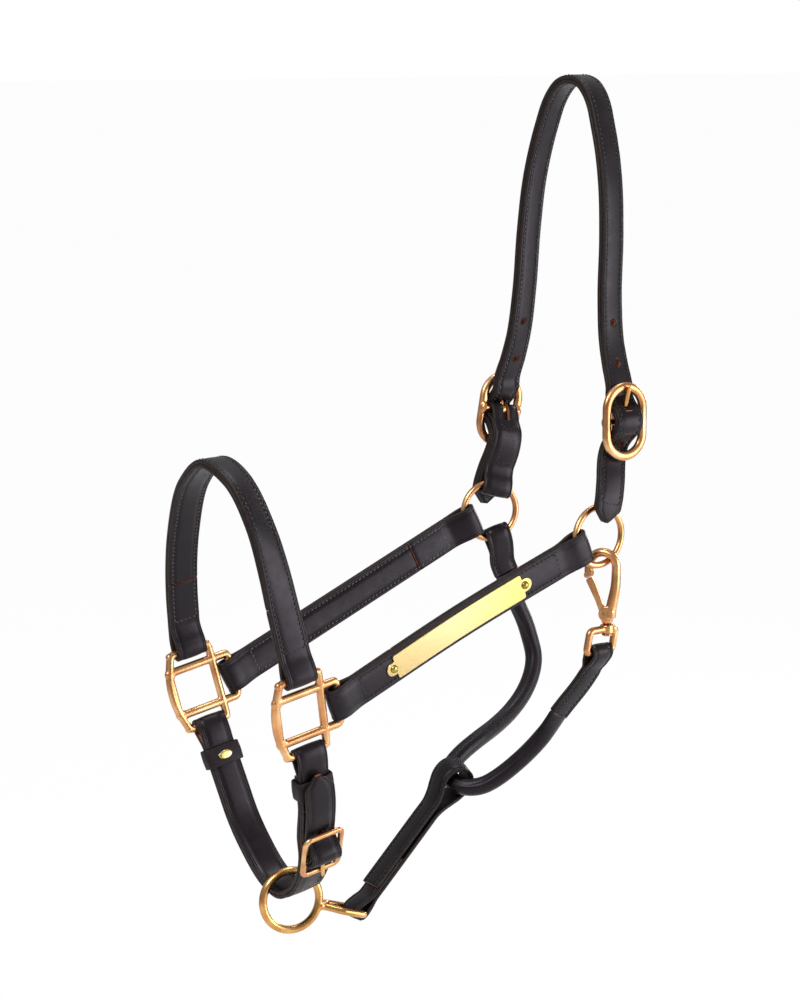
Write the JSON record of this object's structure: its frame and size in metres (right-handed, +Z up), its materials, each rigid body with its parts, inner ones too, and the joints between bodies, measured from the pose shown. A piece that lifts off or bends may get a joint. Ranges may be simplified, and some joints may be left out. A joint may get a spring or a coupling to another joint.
{
  "type": "horse headcollar",
  "caption": "Leather headcollar with buckled crown, cheek straps, noseband, adjustable chin strap with lead ring, jaw strap and clip-on rolled throat.",
  "frame": {"origin": "underside of the crown strap where it sits behind the ears, on the middle plane", "axes": "+X from the nose towards the poll, +Y to the horse's off (right) side, +Z up"},
  "size_m": [0.3178, 0.1614, 0.564],
  "materials": {
    "leather": "satin, dark brown to black bridle leather",
    "lining": "satin, dark brown flesh side and edges",
    "cord": "matt twisted cord",
    "brass": "polished cast brass, warm rosy gold",
    "yellow_brass": "bright yellow brass"
  },
  "bodies": {
    "headcollar": {"noseband_outer": "leather", "noseband_lining": "lining", "near_cheek_outer": "leather", "near_cheek_lining": "lining", "far_cheek_outer": "leather", "far_cheek_lining": "lining", "crown_outer": "leather", "crown_lining": "lining", "near_chape": "leather", "far_chape": "leather", "chin_strap": "leather", "chin_chape": "leather", "throat_roll": "leather", "throat_core": "cord", "near_throat_tab": "leather", "far_throat_tab": "leather", "jaw_strap": "leather", "near_square": "brass", "far_square": "brass", "near_crown_buckle": "brass", "far_crown_buckle": "brass", "chin_buckle": "brass", "chin_ring": "yellow_brass", "snap_eye": "brass", "name_plate": "yellow_brass", "plate_rivets": "yellow_brass"},
    "near_ring_body": {"near_ring": "brass"},
    "far_ring_body": {"far_ring": "brass"},
    "snap_body": {"snap_hook": "brass", "snap_pin": "brass"},
    "gate_body": {"snap_gate": "brass"},
    "near_crown_tongue_body": {"near_crown_tongue": "brass"},
    "far_crown_tongue_body": {"far_crown_tongue": "brass"},
    "chin_tongue_body": {"chin_tongue": "brass"},
    "near_keeper_body": {"near_keeper": "leather"},
    "far_keeper_body": {"far_keeper": "leather", "keeper_plate": "yellow_brass"}
  },
  "joints": [
    {"name": "near_ring_spin", "type": "hinge", "parent": "headcollar", "child": "near_ring_body", "pos_m": [-0.0257, -0.064, -0.2998], "axis": [0.0523, -0.9986, 0], "continuous": true},
    {"name": "far_ring_spin", "type": "hinge", "parent": "headcollar", "child": "far_ring_body", "pos_m": [-0.0257, 0.064, -0.2998], "axis": [-0.2079, -0.9781, 0], "continuous": true},
    {"name": "snap_swivel", "type": "hinge", "parent": "headcollar", "child": "snap_body", "pos_m": [-0.01848, -0.0651, -0.36183], "axis": [0, 0, 1], "range_deg": [-8, 0]},
    {"name": "snap_gate_hinge", "type": "hinge", "parent": "snap_body", "child": "gate_body", "pos_m": [-0.0194, -0.06392, -0.35283], "axis": [0.788, 0.6157, 0], "range_deg": [0, 18], "stiffness_Nm_per_rad": 0.05, "springref_deg": -8.59},
    {"name": "near_crown_tongue_hinge", "type": "hinge", "parent": "headcollar", "child": "near_crown_tongue_body", "pos_m": [-0.0117, -0.07, -0.2223], "axis": [1, 0, 0], "range_deg": [0, 6]},
    {"name": "far_crown_tongue_hinge", "type": "hinge", "parent": "headcollar", "child": "far_crown_tongue_body", "pos_m": [-0.0117, 0.07, -0.2295], "axis": [-0.9848, 0, 0.1736], "range_deg": [0, 6]},
    {"name": "chin_tongue_hinge", "type": "hinge", "parent": "headcollar", "child": "chin_tongue_body", "pos_m": [-0.24002, -0.057, -0.48762], "axis": [-0.9781, 0, -0.2079], "range_deg": [0, 6]},
    {"name": "near_keeper_slide", "type": "slide", "parent": "headcollar", "child": "near_keeper_body", "axis": [-0.205, -0.1676, 0.9643], "range_m": [-0.002, 0.002]},
    {"name": "far_keeper_slide", "type": "slide", "parent": "headcollar", "child": "far_keeper_body", "axis": [-0.1991, 0.2874, 0.9369], "range_m": [-0.002, 0.002]}
  ]
}
